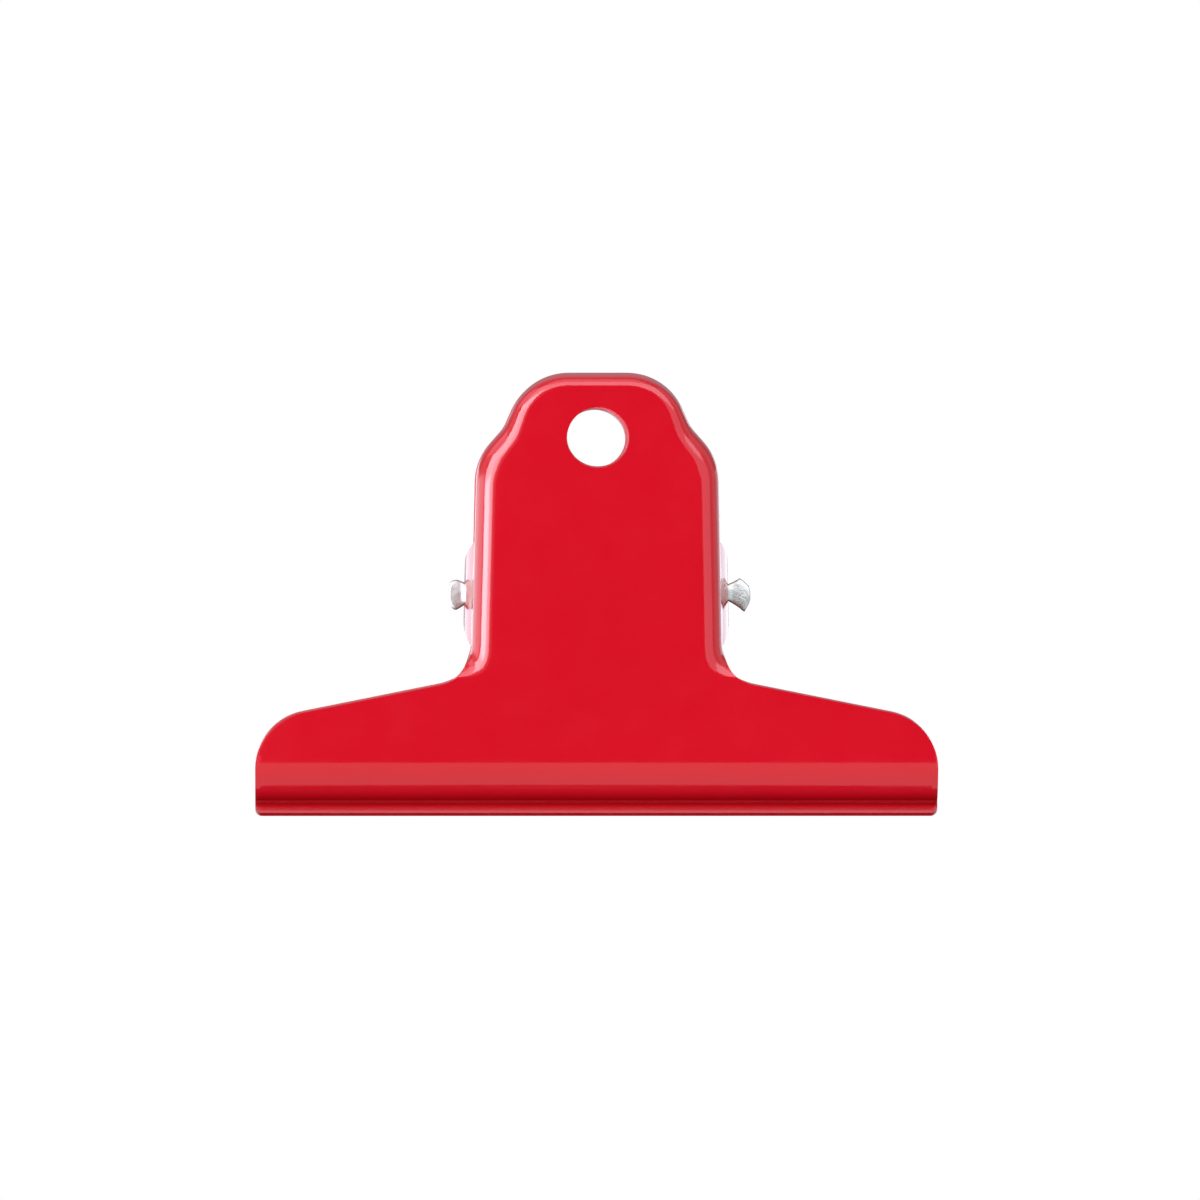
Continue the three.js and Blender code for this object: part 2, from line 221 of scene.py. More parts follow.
def platingFinish(name, dented):
    shader = Shader(name)
    dents = shader.noise(plating["dentScale"], detail=2.0, roughness=0.55)
    lines = shader.noise(1.0, detail=2.0, where=shader.place().scaledBy(plating["drawScale"]))
    tone = dents.over(*plating["dentSpan"]).between(plating["dull"], plating["colour"])
    roughness = lines * plating["drawSpread"] + plating["roughness"]
    normal = shader.bump(lines, plating["drawDepth"])
    if dented:
        normal = shader.bump(dents, plating["dentDepth"], under=normal)
        # Painted shade: where the hammered ends face downwards their colour turns a dark reddish brown
        facingUp = shader.height(shader.node("TexCoord", output="Normal"))
        tone = facingUp.over(*plating["undersideShadeSpan"]).between(tone, plating["undersideShade"])
    surface = {"Base Color": tone, "Metallic": 1.0, "Roughness": roughness, "Normal": normal}
    return shader.finish(shader.node("BsdfPrincipled", inputs=surface))


def newPiece(name, mesh, material, smooth=True):
    piece = bpy.data.objects.new(name, mesh)
    bpy.context.scene.collection.objects.link(piece)
    mesh.materials.clear()
    mesh.materials.append(material)
    for face in mesh.polygons:
        face.use_smooth = smooth
    return piece


# Sizes of the pressing, in millimetres; across, behind the pin axis, up along the handle
pressing = {
    "sheet": 0.6,
    "tilt": math.radians(13.0),
    "pinHeight": 19.6,
    "face": -7.0,
    "halfWidth": 30.0,
    "rimDepth": 2.4,
    "bend": 1.75,
    "headBend": 0.8,
    "headHeight": 38.9,
    "headHalfWidth": 6.0,
    "headRadius": 5.3,
    "neckHeight": 34.15,
    "neckHalfWidth": 8.15,
    "neckFillet": 3.0,
    "shoulderHeight": 31.4,
    "shoulderHalfWidth": 10.6,
    "shoulderRadius": 5.5,
    "rootHeight": 12.2,
    "rootHalfWidth": 11.05,
    "rootFillet": 3.5,
    "rimFadeStart": 0.15,
    "rimFade": 2.6,
    "flangeLag": 0.6,
    "wingTipHeight": 8.4,
    "wingRadius": 5.2,
    "lipCorner": 0.6,
    "jawGap": 0.24,
    "contactHeight": 1.25,
    "bead": 5.0,
    "crease": 0.2,
    "lipFlare": math.radians(28.0),
    "holeHeight": 33.2,
    "hole": 2.7,
    "earHalfHeight": 4.8,
    "earRise": 0.9,
    "earTip": 2.6,
    "earSides": 9.0,
    "outerEarSet": 0.7,
    "innerEarSet": -0.4,
    "pinBore": 0.83,
    "drillLength": 40.0,
    "edgeRound": 0.07,
}
# How finely the pressing is meshed: steps in millimetres, counts, and guide lines by their distance
meshing = {
    "arcStep": 0.2,
    "rimStep": 0.32,
    "cornerStep": 0.15,
    "wingStep": 0.25,
    "slopeStep": 0.5,
    "bendRows": 10,
    "rimRows": 2,
    "earRows": 10,
    "beadRows": 28,
    "creaseRows": 12,
    "lipRows": 3,
    "bottomColumns": 50,
    "jawColumns": 100,
    "flatColumns": 40,
    "holeSides": 96,
    "holeGuides": (0.0, 0.2, 0.5),
    "rimGuides": (0.25, 0.8),
    "wingGuide": 0.25,
    "flatGuides": (1.5, 3.0),
    "boreSides": 48,
    "roundSegments": 3,
    "pastRoot": 0.4,
    "clearOfRoot": 0.6,
    "clearOfJaw": 0.5,
    "pastEdge": 0.02,
    "shortOfEdge": 0.8,
    "weld": 0.004,
    "sliver": 0.0005,
    "onFace": 0.01,
}
sheet = pressing["sheet"]
tilt = pressing["tilt"]
faceDepth = pressing["face"]
rimEdge = faceDepth + pressing["rimDepth"]
pinZ = pressing["pinHeight"] * mm


def upAlong(height, depth):
    return (height - pressing["pinHeight"] - depth * math.sin(tilt)) / math.cos(tilt)


# The rim's bend tightens from the shoulders to the head
def bendAt(up):
    low = upAlong(pressing["shoulderHeight"], rimEdge)
    share = (up - low) / (upAlong(pressing["headHeight"], rimEdge) - low)
    return pressing["bend"] + (pressing["headBend"] - pressing["bend"]) * min(1.0, max(0.0, share))


def smoothStep(value):
    value = min(1.0, max(0.0, value))
    return value * value * (3.0 - 2.0 * value)


# Points of an open line from its corners (x, y, radius), each arc cut into small steps
def roundedLine(corners, step):
    points = [Vector(corners[0][:2])]
    for before, (x, y, radius), after in zip(corners, corners[1:], corners[2:]):
        corner = Vector((x, y))
        toBefore = (Vector(before[:2]) - corner).normalized()
        toAfter = (Vector(after[:2]) - corner).normalized()
        half = toBefore.angle(toAfter) / 2.0
        inward = (toBefore + toAfter).normalized()
        centre = corner + inward * (radius / math.sin(half))
        sweep = math.pi - 2.0 * half
        side = math.copysign(1.0, toBefore.x * toAfter.y - toBefore.y * toAfter.x)
        start = math.atan2(-inward.y, -inward.x) + side * sweep / 2.0
        count = max(2, math.ceil(radius * sweep / step))
        for k in range(count + 1):
            angle = start - side * sweep * k / count
            points.append(centre + Vector((math.cos(angle), math.sin(angle))) * radius)
    points.append(Vector(corners[-1][:2]))
    return points


# The same line with points at even spacing, the old corners kept as near as that allows
def evened(points, step):
    lengths = [0.0]
    for a, b in zip(points, points[1:]):
        lengths.append(lengths[-1] + (b - a).length)
    count = max(1, round(lengths[-1] / step))
    result = []
    place = 0
    for k in range(count + 1):
        at = lengths[-1] * k / count
        while place + 2 < len(lengths) and lengths[place + 1] < at:
            place += 1
        span = lengths[place + 1] - lengths[place]
        result.append(points[place].lerp(points[place + 1], (at - lengths[place]) / max(span, 1e-9)))
    return result


root = Vector((pressing["rootHalfWidth"], upAlong(pressing["rootHeight"], faceDepth + sheet)))
wingTip = Vector((pressing["halfWidth"], upAlong(pressing["wingTipHeight"], faceDepth + sheet)))
wingSlope = math.atan2(root.y - wingTip.y, wingTip.x - root.x)
rootReach = pressing["rootFillet"] * math.tan((math.pi / 2.0 - wingSlope) / 2.0)
rimEnd = root.y - rootReach * math.sin(wingSlope)


# Right half of the handle's outline, from the wing's top edge up to the middle of the head
def handleHalf():
    wayOut = Vector((math.cos(wingSlope), -math.sin(wingSlope)))
    start = root + wayOut * (rootReach + meshing["pastRoot"])
    shoulderUp = upAlong(pressing["shoulderHeight"], rimEdge)
    neckUp = upAlong(pressing["neckHeight"], rimEdge)
    headUp = upAlong(pressing["headHeight"], rimEdge)
    corners = [
        (start.x, start.y, 0.0),
        (root.x, root.y, pressing["rootFillet"]),
        (pressing["shoulderHalfWidth"], shoulderUp, pressing["shoulderRadius"]),
        (pressing["neckHalfWidth"], neckUp, pressing["neckFillet"]),
        (pressing["headHalfWidth"], headUp, pressing["headRadius"]),
        (0.0, headUp, 0.0),
    ]
    return evened(roundedLine(corners, meshing["arcStep"]), meshing["rimStep"])


# How far round the bend the rim goes at a height: all the way, dying out over the root's fillet
def rimShare(up):
    return smoothStep((up - rimEnd - pressing["rimFadeStart"]) / pressing["rimFade"])


# Depth of an ear's outline at a height above the pin: round it at the tip, straight to the rim beyond
def earDepth(up):
    corner = pressing["earHalfHeight"] + math.copysign(pressing["earRise"], up)
    tip = pressing["earTip"]
    slope = math.atan2(corner, -rimEdge) - math.asin(tip / math.hypot(rimEdge, corner))
    up = abs(up)
    if up >= corner:
        return rimEdge
    if up <= tip * math.cos(slope):
        return math.sqrt(tip * tip - up * up)
    return rimEdge + (corner - up) / math.tan(slope)


# One station of the rim: points from the flat face round the bend to the free edge
def rimStation(point, inward, earSet):
    bendRows, rimRows, earRows = meshing["bendRows"], meshing["rimRows"], meshing["earRows"]
    share = rimShare(point.y)
    sweep = share * math.pi / 2.0
    bend = bendAt(point.y)
    edge = bend * math.sin(sweep)
    rows = []
    for k in range(bendRows + 1):
        angle = sweep * k / bendRows
        inset = edge - bend * math.sin(angle)
        rows.append((inset, faceDepth + bend * (1.0 - math.cos(angle))))
    start = rows[-1][1]
    lag = pressing["flangeLag"]
    end = start + (rimEdge - faceDepth - bend) * smoothStep(share * (1.0 + lag) - lag)
    for k in range(1, rimRows + 1):
        rows.append((0.0, start + (end - start) * k / rimRows))
    ear = earDepth(point.y) if point.x > pressing["earSides"] else rimEdge
    result = [(point + inward * inset, depth, 0.0) for inset, depth in rows]
    if ear > rimEdge:
        for k in range(1, earRows + 1):
            depth = rimEdge + (ear - rimEdge) * k / earRows
            rise = min(1.0, (depth - rimEdge) / -rimEdge)
            result.append((point, depth, earSet * math.sin(math.pi / 2.0 * rise)))
    return result


# Section of the jaw, outer face, by length down from where the bead starts
def jawLine():
    creaseY = -(pressing["jawGap"] / 2.0 + sheet + pressing["crease"])
    creaseZ = pressing["contactHeight"] - pressing["pinHeight"]
    crease = Vector((
        creaseY * math.cos(tilt) + creaseZ * math.sin(tilt),
        -creaseY * math.sin(tilt) + creaseZ * math.cos(tilt),
    ))
    reach = pressing["bead"] + pressing["crease"]
    sweep = math.acos((pressing["bead"] - (crease.x - faceDepth)) / reach)
    bead = Vector((faceDepth + pressing["bead"], crease.y + reach * math.sin(sweep)))
    lipTurn = -(pressing["lipFlare"] + tilt)
    fall = pressing["contactHeight"] - (pressing["crease"] + sheet) * math.sin(pressing["lipFlare"])
    lipLength = fall / math.cos(pressing["lipFlare"])
    points = []
    for k in range(meshing["beadRows"] + 1):
        angle = sweep * k / meshing["beadRows"]
        points.append(bead - Vector((math.cos(angle), math.sin(angle))) * pressing["bead"])
    for k in range(1, meshing["creaseRows"] + 1):
        angle = sweep + (lipTurn - sweep) * k / meshing["creaseRows"]
        points.append(crease + Vector((math.cos(angle), math.sin(angle))) * pressing["crease"])
    start = points[-1]
    lip = Vector((math.sin(lipTurn), -math.cos(lipTurn))) * lipLength
    for k in range(1, meshing["lipRows"] + 1):
        points.append(start + lip * k / meshing["lipRows"])
    return points


jawPoints = jawLine()
jawTop = jawPoints[0].y
jawLengths = [0.0]
for a, b in zip(jawPoints, jawPoints[1:]):
    jawLengths.append(jawLengths[-1] + (b - a).length)


# Depth and height of a point of the flat blank, once the jaw is pressed
def pressed(flat):
    if flat >= jawTop:
        return faceDepth, flat
    run = jawTop - flat
    for k in range(len(jawLengths) - 1):
        if run <= jawLengths[k + 1] + 1e-6:
            share = (run - jawLengths[k]) / (jawLengths[k + 1] - jawLengths[k])
            point = jawPoints[k].lerp(jawPoints[k + 1], min(1.0, share))
            return point.x, point.y
    return jawPoints[-1].x, jawPoints[-1].y


print("pressing: jaw line", round(jawTop, 3), round(jawLengths[-1], 3))


# Normals of a line, to its left
def lineNormals(points):
    result = []
    for k, point in enumerate(points):
        before = points[max(0, k - 1)]
        after = points[min(len(points) - 1, k + 1)]
        way = (after - before).normalized()
        result.append(Vector((-way.y, way.x)))
    return result


# The whole pressing as one surface at its outer face
def pressedSheet(earSet):
    half = handleHalf()
    normals = lineNormals(half)
    normals[-1] = Vector((0.0, -1.0))
    stations = [rimStation(point, normal, earSet) for point, normal in zip(half, normals)]
    build = bmesh.new()
    rimTop = []
    for side in (1.0, -1.0):
        columns = []
        for rows in stations:
            column = []
            for point, depth, spread in rows:
                place = Vector((side * (point.x + spread), depth, point.y))
                column.append(build.verts.new(place))
            columns.append(column)
        for left, right in zip(columns, columns[1:]):
            rowCount = min(len(left), len(right))
            for k in range(rowCount - 1):
                build.faces.new((left[k], right[k], right[k + 1], left[k + 1]))
        rimTop.append([column[0] for column in columns])
    flatOutline(build, [Vector((v.co.x, v.co.z)) for v in rimTop[0]])
    bmesh.ops.remove_doubles(build, verts=build.verts[:], dist=meshing["weld"])
    bmesh.ops.dissolve_degenerate(build, edges=build.edges[:], dist=meshing["sliver"])
    bmesh.ops.recalc_face_normals(build, faces=build.faces[:])
    aimOutwards(build)
    return build


# Flips the surface if its flat face looks the wrong way
def aimOutwards(build):
    lookout = 0.0
    for face in build.faces:
        if abs(face.calc_center_median().y - faceDepth) < meshing["onFace"]:
            lookout += face.normal.y * face.calc_area()
    if lookout > 0.0:
        bmesh.ops.reverse_faces(build, faces=build.faces[:])


def mirrored(points):
    return [Vector((-point.x, point.y)) for point in points]


def levelLine(reach, up, count):
    return [Vector((reach * (2.0 * k / count - 1.0), up)) for k in range(count + 1)]


# Everything inside the rim's bend: the flat, the wings and the jaw, with the hanging hole
def flatOutline(build, rimLine):
    lowest = jawTop - jawLengths[-1]
    corner = pressing["lipCorner"]
    wing = pressing["wingRadius"]
    start = rimLine[0]
    width = pressing["halfWidth"]
    columns = meshing["bottomColumns"]
    bottom = [Vector(((width - corner) * k / columns, lowest)) for k in range(columns)]
    side = (width, jawTop, 0.0)
    low = [(width - corner, lowest, 0.0), (width, lowest, corner), side]
    turn = roundedLine(low, meshing["cornerStep"])
    tip = (wingTip.x, wingTip.y, wing)
    wingTop = roundedLine([side, tip, (start.x, start.y, 0.0)], meshing["wingStep"])
    slope = evened(wingTop[-2:], meshing["slopeStep"])
    outer = bottom + turn[1:] + wingTop[1:-2] + slope
    half = outer[:-1] + rimLine
    loop = half + mirrored(reversed(half[1:-1]))
    points = loop[:]
    edges = [(k, (k + 1) % len(loop)) for k in range(len(loop))]

    def addLine(line, closed=False):
        first = len(points)
        points.extend(line)
        for k in range(len(line) - 1):
            edges.append((first + k, first + k + 1))
        if closed:
            edges.append((first + len(line) - 1, first))

    holeUp = upAlong(pressing["holeHeight"], faceDepth)
    for guide in meshing["holeGuides"]:
        radius = pressing["hole"] + guide
        ring = []
        for k in range(meshing["holeSides"]):
            angle = 2.0 * math.pi * k / meshing["holeSides"]
            ring.append(Vector((radius * math.cos(angle), holeUp + radius * math.sin(angle))))
        addLine(ring, closed=True)
    for inset in meshing["rimGuides"]:
        support = [point + normal * inset for point, normal in zip(rimLine, lineNormals(rimLine))]
        support[-1].x = 0.0
        kept = [p for p in support if p.y > rimEnd + meshing["clearOfRoot"]]
        addLine(kept)
        addLine(mirrored(kept))
    edge = [p for p in wingTop[1:-2] + slope if p.y > jawTop + meshing["clearOfJaw"]]
    guide = meshing["wingGuide"]
    inner = [point + normal * guide for point, normal in zip(edge, lineNormals(edge))]
    addLine(inner)
    addLine(mirrored(inner))
    for up in [jawTop + guide] + [jawTop - length for length in jawLengths[:-1]]:
        addLine(levelLine(sideReach(outer, up) + meshing["pastEdge"], up, meshing["jawColumns"]))
    for guide in meshing["flatGuides"]:
        up = jawTop + guide
        addLine(levelLine(sideReach(outer, up) - meshing["shortOfEdge"], up, meshing["flatColumns"]))
    result = delaunay_2d_cdt(points, edges, [], 0, 1e-5)
    flatPoints, faces = result[0], result[2]
    loop = [Vector((p.x, p.y)) for p in loop]
    verts = {}
    for face in faces:
        centre = sum((flatPoints[k] for k in face), Vector((0.0, 0.0))) / len(face)
        if (centre - Vector((0.0, holeUp))).length < pressing["hole"] * 0.999:
            continue
        if not inside(loop, centre):
            continue
        corners = []
        for k in face:
            if k not in verts:
                depth, up = pressed(flatPoints[k].y)
                verts[k] = build.verts.new(Vector((flatPoints[k].x, depth, up)))
            corners.append(verts[k])
        build.faces.new(corners)


def sideReach(outline, up):
    reach = 0.0
    for a, b in zip(outline, outline[1:]):
        if (a.y - up) * (b.y - up) <= 0.0 and abs(a.y - b.y) > 1e-9:
            reach = max(reach, a.x + (b.x - a.x) * (up - a.y) / (b.y - a.y))
    return reach


def inside(loop, point):
    crossings = False
    for a, b in zip(loop, loop[1:] + loop[:1]):
        if (a.y > point.y) != (b.y > point.y):
            if point.x < a.x + (b.x - a.x) * (point.y - a.y) / (b.y - a.y):
                crossings = not crossings
    return crossings


# A rod through both ears, for their pin holes
def drill():
    mesh = bpy.data.meshes.new("drill")
    tool = bmesh.new()
    size = pressing["pinBore"] * mm
    length = pressing["drillLength"] * mm
    sides = meshing["boreSides"]
    bmesh.ops.create_cone(tool, cap_ends=True, segments=sides, radius1=size, radius2=size, depth=length)
    bmesh.ops.rotate(tool, verts=tool.verts[:], matrix=Matrix.Rotation(math.pi / 2.0, 3, "Y"))
    tool.to_mesh(mesh)
    tool.free()
    cutter = bpy.data.objects.new("drill", mesh)
    bpy.context.scene.collection.objects.link(cutter)
    return cutter


# The sheet's surface given its thickness, its pin holes and its place on the clip
def plate(name, earSet, turn, material, replaced, body):
    build = pressedSheet(earSet)
    bmesh.ops.scale(build, vec=(mm, mm, mm), verts=build.verts[:])
    mesh = bpy.data.meshes.new(name)
    build.to_mesh(mesh)
    build.free()
    blank = newPiece(name + "_blank", mesh, material)
    thick = blank.modifiers.new("thickness", "SOLIDIFY")
    thick.thickness = sheet * mm
    thick.offset = -1.0
    thick.use_even_offset = True
    thick.use_quality_normals = True
    cutter = drill()
    bore = blank.modifiers.new("pin_holes", "BOOLEAN")
    bore.operation = "DIFFERENCE"
    bore.solver = "EXACT"
    bore.object = cutter
    rounding = blank.modifiers.new("edges", "BEVEL")
    rounding.width = pressing["edgeRound"] * mm
    rounding.segments = meshing["roundSegments"]
    rounding.limit_method = "ANGLE"
    rounding.angle_limit = math.radians(50.0)
    rounding.use_clamp_overlap = True
    shading = blank.modifiers.new("shading", "WEIGHTED_NORMAL")
    shading.weight = 50
    bpy.context.view_layer.update()
    graph = bpy.context.evaluated_depsgraph_get()
    solid = bpy.data.meshes.new_from_object(blank.evaluated_get(graph))
    place = Matrix.Translation((0.0, 0.0, pinZ))
    place = place @ Matrix.Rotation(turn, 4, "Z") @ Matrix.Rotation(tilt, 4, "X")
    solid.transform(place)
    bpy.data.objects.remove(blank)
    bpy.data.objects.remove(cutter)
    piece = newPiece(name, solid, material)
    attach(piece, body)
    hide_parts(replaced)
    print(name, len(solid.polygons), "faces")


# Rings of points joined into one closed tube, from millimetres about the pin to the clip's place
def tubeMesh(name, rings):
    build = bmesh.new()
    loops = [[build.verts.new(point) for point in ring] for ring in rings]
    for a, b in zip(loops, loops[1:]):
        for k in range(len(a)):
            follow = (k + 1) % len(a)
            build.faces.new((a[k], a[follow], b[follow], b[k]))
    build.faces.new(loops[0])
    build.faces.new(loops[-1])
    bmesh.ops.recalc_face_normals(build, faces=build.faces[:])
    bmesh.ops.scale(build, vec=(mm, mm, mm), verts=build.verts[:])
    bmesh.ops.translate(build, vec=(0.0, 0.0, pinZ), verts=build.verts[:])
    mesh = bpy.data.meshes.new(name)
    build.to_mesh(mesh)
    build.free()
    return mesh


red = lacquerFinish()
plate("front_pressing", pressing["outerEarSet"], 0.0, red, "front_plate", "front_half")
plate("rear_pressing", pressing["innerEarSet"], math.pi, red, "rear_plate", "rear_half")


# The pin, millimetres: its wire, and each hammered end by distance out, top, bottom and thickness
pinSizes = {
    "radius": 0.74,
    "neck": 11.62,
    "flat": 0.3,
    "right": [
        (0.0, 0.8, -0.7), (0.45, 1.0, -0.95), (0.75, 1.17, -1.14), (1.0, 1.32, -1.32), (1.2, 1.18, -1.5),
        (1.42, 1.0, -1.63), (1.62, 0.82, -1.3), (1.8, 0.64, -0.98), (1.93, 0.1, -0.62),
    ],
    "left": [
        (0.0, 0.95, -1.05), (0.2, 1.03, -1.18), (0.45, 1.13, -1.34), (0.65, 1.18, -1.45), (0.85, 1.17, -1.46),
        (1.05, 1.1, -1.32), (1.22, 0.95, -1.08), (1.33, 0.66, -0.76),
    ],
    "flatness": 0.4,
    "flatFrom": 0.25,
    "flatLead": 0.75,
    "flatOver": 0.8,
    "flatUnder": 0.6,
    "leftLean": 0.11,
    "sides": 28,
}


def pinRings():
    radius = pinSizes["radius"]
    sections = []
    flatStart = pinSizes["neck"] - pinSizes["flatFrom"]
    for side, key, lean in ((-1.0, "left", pinSizes["leftLean"]), (1.0, "right", 0.0)):
        outs = []
        for out, top, bottom in pinSizes[key]:
            share = smoothStep(pinSizes["flatLead"] + out / pinSizes["flatOver"])
            thick = radius + (pinSizes["flat"] - radius) * share
            outs.append((side * (pinSizes["neck"] + out), top, bottom, thick, -lean * out))
        outs.insert(0, (side * flatStart, radius, -radius, radius, 0.0))
        sections.extend(reversed(outs) if side < 0.0 else outs)
    count = pinSizes["sides"]
    rings = []
    for x, top, bottom, thick, centre in sections:
        middle = (top + bottom) / 2.0
        tall = (top - bottom) / 2.0
        ring = []
        for k in range(count):
            angle = 2.0 * math.pi * k / count
            y = math.sin(angle)
            z = math.cos(angle)
            power = 1.0 if thick > pinSizes["flatUnder"] else pinSizes["flatness"]
            depth = centre + thick * math.copysign(abs(y) ** power, y)
            ring.append(Vector((x, depth, middle + tall * z)))
        rings.append(ring)
    return rings


pinMesh = tubeMesh("hammered_pin", pinRings())
hammeredPin = newPiece("hammered_pin", pinMesh, platingFinish("bright_plating", True))
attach(hammeredPin, "front_half")
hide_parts("pivot_pin")
print("hammered_pin", len(pinMesh.polygons), "faces")


# The spring, millimetres: wire coiled round the pin with a leg up each handle
spring = {
    "wire": 1.2,
    "radius": 2.2,
    "pitch": 1.75,
    "loops": 8,
    "legReach": 9.0,
    "seatGap": 0.3,
    "steps": 40,
    "legSteps": 24,
    "sides": 16,
    "cutEnd": 0.86,
}


def springLine():
    depth = faceDepth + sheet + spring["wire"] / 2.0 + spring["seatGap"]
    tipY = depth * math.cos(tilt) - spring["legReach"] * math.sin(tilt)
    tipZ = depth * math.sin(tilt) + spring["legReach"] * math.cos(tilt)
    start = math.atan2(tipZ, tipY) + math.acos(spring["radius"] / math.hypot(tipY, tipZ))
    end = math.pi - start + 2.0 * math.pi * spring["loops"]
    turns = (end - start) / (2.0 * math.pi)
    length = spring["pitch"] * turns
    count = round(turns * spring["steps"])
    coil = []
    for k in range(count + 1):
        angle = start + (end - start) * k / count
        x = length * (k / count - 0.5)
        coil.append(Vector((x, spring["radius"] * math.cos(angle), spring["radius"] * math.sin(angle))))
    front = Vector((-length / 2.0, tipY, tipZ))
    rear = Vector((length / 2.0, -tipY, tipZ))
    steps = spring["legSteps"]
    frontLeg = [front.lerp(coil[0], k / steps) for k in range(steps)]
    rearLeg = [coil[-1].lerp(rear, k / steps) for k in range(1, steps + 1)]
    return frontLeg + coil + rearLeg, length


def springRings(line):
    rings = []
    count = spring["sides"]
    last = len(line) - 1
    for k, point in enumerate(line):
        way = (line[min(k + 1, last)] - line[max(k - 1, 0)]).normalized()
        side = (Vector((1.0, 0.0, 0.0)) - way * way.x).normalized()
        up = way.cross(side)
        size = spring["wire"] / 2.0 * (spring["cutEnd"] if k in (0, last) else 1.0)
        ring = []
        for j in range(count):
            angle = 2.0 * math.pi * j / count
            ring.append(point + (side * math.cos(angle) + up * math.sin(angle)) * size)
        rings.append(ring)
    return rings


wireLine, coilLength = springLine()
coilMesh = tubeMesh("coiled_wire", springRings(wireLine))
coiledWire = newPiece("coiled_wire", coilMesh, platingFinish("drawn_wire", False))
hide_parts("torsion_spring")
-coilLength / 2.0 * mm
coilLength / 2.0 * mm
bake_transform(coiledWire)
print("coiled_wire", len(coilMesh.polygons), "faces")


# The studio: a white room with a pale floor well below the clip. Cards stand round the clip where
# its glossy faces mirror them; angles are in degrees, turning left from the camera and up.
studio = {
    "floorHeight": -0.5,
    "floorReach": 1.5,
    "floorTone": 0.7,
    "shadowReach": 0.35,
    "shadowShare": 0.4,
    "airDiffuse": 0.45,
    "cardDistance": 0.4,
    "cardStep": 6.0,
    "cardSpacing": 0.001,
    "cardTint": (0.88, 1.0, 1.1),
    "keyShare": 0.62,
    "keyPlace": (-0.35, -0.95, 0.3),
    "fillShare": 0.42,
    "fillPlace": (0.3, 0.9, 0.3),
    "lampSize": 0.5,
    "middle": 0.019,
}
# Name: turns from and to, heights from and to, brightness
cards = {
    "camera_dark": (-19, 8, -33, 4, 0.02),
    "left_haze": (8, 21, -33, 4, 0.7),
    "left_edge": (21, 38, -27, -2, 8.0),
    "left_softbox": (38, 69, -26, -11, 16.5),
    "left_fall": (38, 69, -11, -2, 10.0),
    "left_high": (21, 69, -2, 18, 10.5),
    "left_gap": (69, 76, -45, 20, 0.3),
    "left_wall": (76, 128, -38, 2, 3.2),
    "left_upper": (62, 108, 20, 48, 2.2),
    "left_rear": (128, 165, -38, 8, 2.2),
    "left_back": (165, 180, -38, 8, 0.6),
    "right_wall": (-66, -19, -40, 4, 1.6),
    "right_gap": (-84, -66, -40, 20, 0.6),
    "right_rear": (-148, -120, -38, 8, 1.6),
    "right_ear": (-168, -148, -38, 8, 2.1),
    "right_back": (-180, -168, -38, 8, 0.6),
    "top_softbox": (-60, 60, 5, 48, 4.2),
    "top_fall": (-60, 60, 48, 82, 2.0),
    "ceiling_rear": (60, 300, 50, 82, 0.5),
    "ceiling": (-180, 180, 82, 89, 0.5),
    "rear_high": (110, 250, 8, 48, 0.4),
    "underside": (110, 250, -89, -48, 0.02),
    "front_below": (-110, 110, -89, -83, 0.02),
    "rear_dark": (160, 200, -36, -8, 0.02),
}


def stagePiece(name, corners, faces, material):
    mesh = bpy.data.meshes.new(name)
    mesh.from_pydata(corners, [], faces)
    made = newPiece(name, mesh, material, smooth=False)
    return made


def plainRays(tree):
    path = tree.nodes.new("ShaderNodeLightPath")
    seen = Wire(tree, path.outputs["Is Camera Ray"]) + Wire(tree, path.outputs["Is Glossy Ray"])
    return (seen + Wire(tree, path.outputs["Is Transmission Ray"])).clamped()


def whiteAir():
    world = bpy.data.worlds.new("studio_air")
    bpy.context.scene.world = world
    world.use_nodes = True
    tree = world.node_tree
    tree.nodes.clear()
    strength = plainRays(tree) * (1.0 - studio["airDiffuse"]) + studio["airDiffuse"]
    background = tree.nodes.new("ShaderNodeBackground")
    background.inputs["Color"].default_value = (1.0, 1.0, 1.0, 1.0)
    tree.links.new(strength.socket, background.inputs["Strength"])
    out = tree.nodes.new("ShaderNodeOutputWorld")
    tree.links.new(background.outputs[0], out.inputs["Surface"])


# Paper that takes the clip's shadow near it and is plain white further off
def floorFinish():
    shader = Shader("studio_paper")
    distance = shader.node("VectorMath", {"operation": "LENGTH"}, {0: shader.place()}, output="Value")
    away = distance.over(studio["shadowReach"] / 2.0, studio["shadowReach"])
    share = away * studio["shadowShare"] + (1.0 - studio["shadowShare"])
    paper = shader.node("BsdfDiffuse", inputs={"Color": (studio["floorTone"],) * 3})
    glow = shader.node("Emission", inputs={"Color": (1.0, 1.0, 1.0), "Strength": 1.0})
    mixed = shader.node("MixShader", inputs={0: plainRays(shader.tree) * share, 1: paper, 2: glow})
    return shader.finish(mixed)


def glowFinish(name, strength):
    shader = Shader(name)
    light = {"Color": studio["cardTint"], "Strength": strength}
    return shader.finish(shader.node("Emission", inputs=light))


def compass(turn, height, distance):
    turn, height = math.radians(turn), math.radians(height)
    level = math.cos(height) * distance
    up = math.sin(height) * distance + studio["middle"]
    return (-math.sin(turn) * level, -math.cos(turn) * level, up)


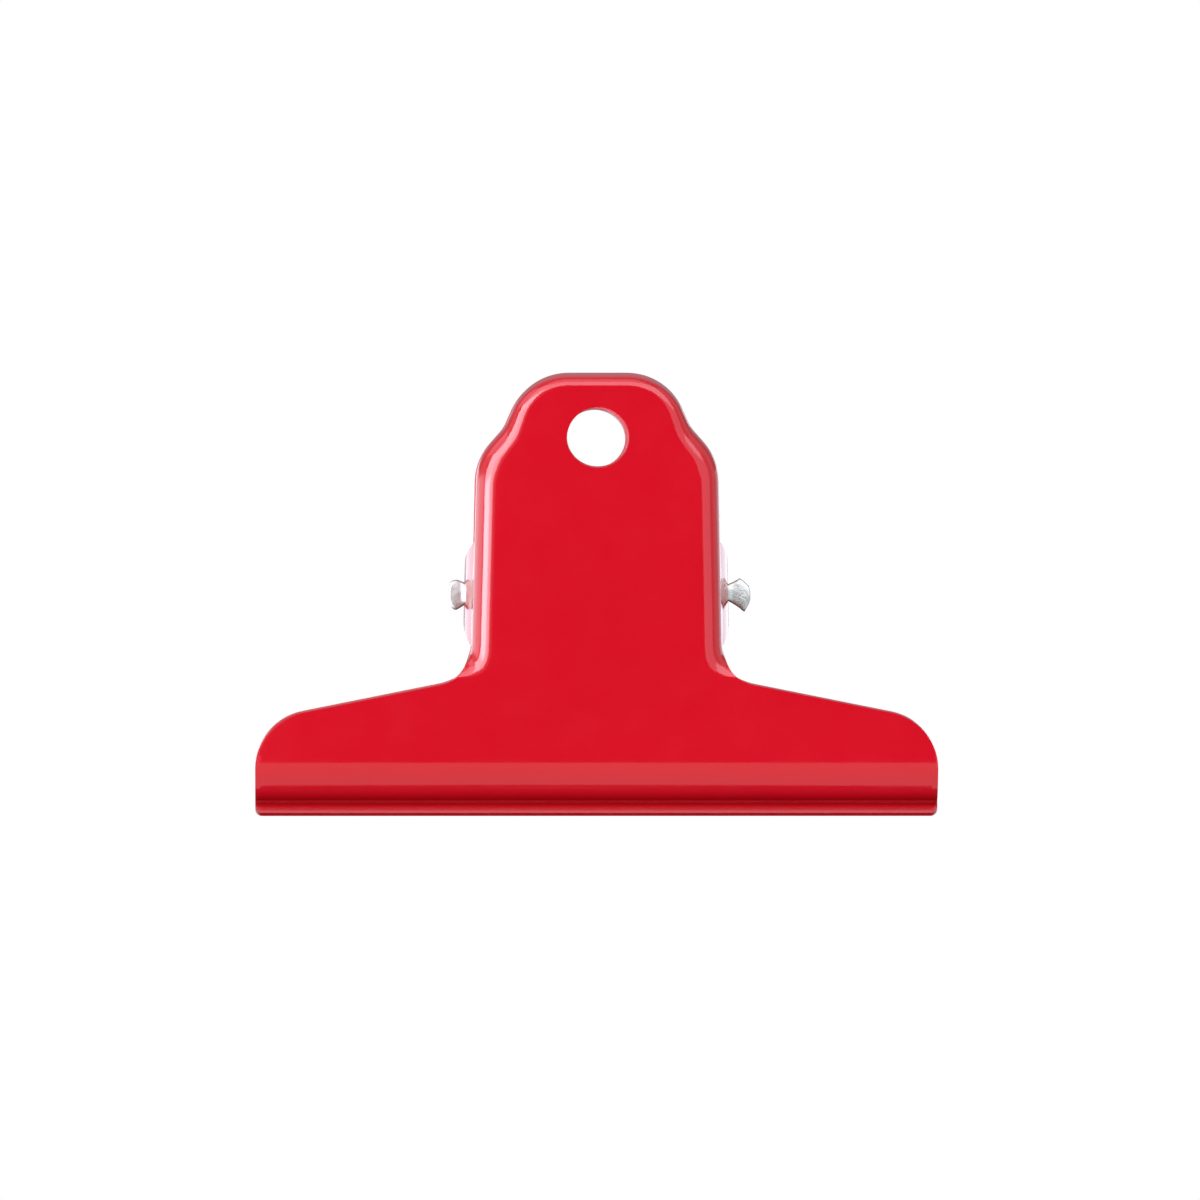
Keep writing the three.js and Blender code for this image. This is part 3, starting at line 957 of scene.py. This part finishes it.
def card(name, turnFrom, turnTo, heightFrom, heightTo, strength, distance):
    across = math.ceil((turnTo - turnFrom) / studio["cardStep"])
    upwards = math.ceil((heightTo - heightFrom) / studio["cardStep"])
    corners = []
    for j in range(upwards + 1):
        for i in range(across + 1):
            turn = turnFrom + (turnTo - turnFrom) * i / across
            height = heightFrom + (heightTo - heightFrom) * j / upwards
            corners.append(compass(turn, height, distance))
    faces = []
    for j in range(upwards):
        for i in range(across):
            first = j * (across + 1) + i
            faces.append((first, first + 1, first + across + 2, first + across + 1))
    made = stagePiece(name, corners, faces, glowFinish(name, strength))
    made.visible_camera = False
    made.visible_diffuse = False
    made.visible_shadow = False
    made.visible_transmission = False


def softLamp(name, share, place):
    lamp = bpy.data.lights.new(name, "AREA")
    lamp.size = studio["lampSize"]
    place = Vector(place)
    lamp.energy = share * math.pi ** 2 * place.length ** 2
    holder = bpy.data.objects.new(name, lamp)
    bpy.context.scene.collection.objects.link(holder)
    holder.location = place
    holder.rotation_euler = (-place).to_track_quat("-Z", "Y").to_euler()
    holder.visible_camera = False
    holder.visible_glossy = False


whiteAir()
floorZ = studio["floorHeight"]
reach = studio["floorReach"]
corners = ((-1.0, -1.0), (1.0, -1.0), (1.0, 1.0), (-1.0, 1.0))
square = [(x * reach, y * reach, floorZ) for x, y in corners]
stagePiece("studio_floor", square, [(0, 1, 2, 3)], floorFinish())
for order, (name, values) in enumerate(cards.items()):
    card(name, *values, studio["cardDistance"] + studio["cardSpacing"] * order)
softLamp("key", studio["keyShare"], studio["keyPlace"])
softLamp("fill", studio["fillShare"], studio["fillPlace"])

# The photograph's view: a long lens, almost square on, a hair to the left
view = {
    "lens": 600.0,
    "sensor": 36.0,
    "width": 0.1056,
    "yaw": math.radians(0.8),
    "aim": (0.00033, 0.0, 0.019),
}
camera = bpy.data.cameras.new("lens")
camera.lens = view["lens"]
camera.sensor_width = view["sensor"]
distance = view["width"] * view["lens"] / view["sensor"]
cameraObject = bpy.data.objects.new("lens", camera)
bpy.context.scene.collection.objects.link(cameraObject)
yaw = view["yaw"]
cameraObject.location = Vector(view["aim"]) + Vector((-math.sin(yaw), -math.cos(yaw), 0.0)) * distance
cameraObject.rotation_euler = (math.pi / 2.0, 0.0, -yaw)
bpy.context.scene.camera = cameraObject
bpy.context.scene.view_settings.view_transform = "Standard"
print("studio", len(cards), "cards")
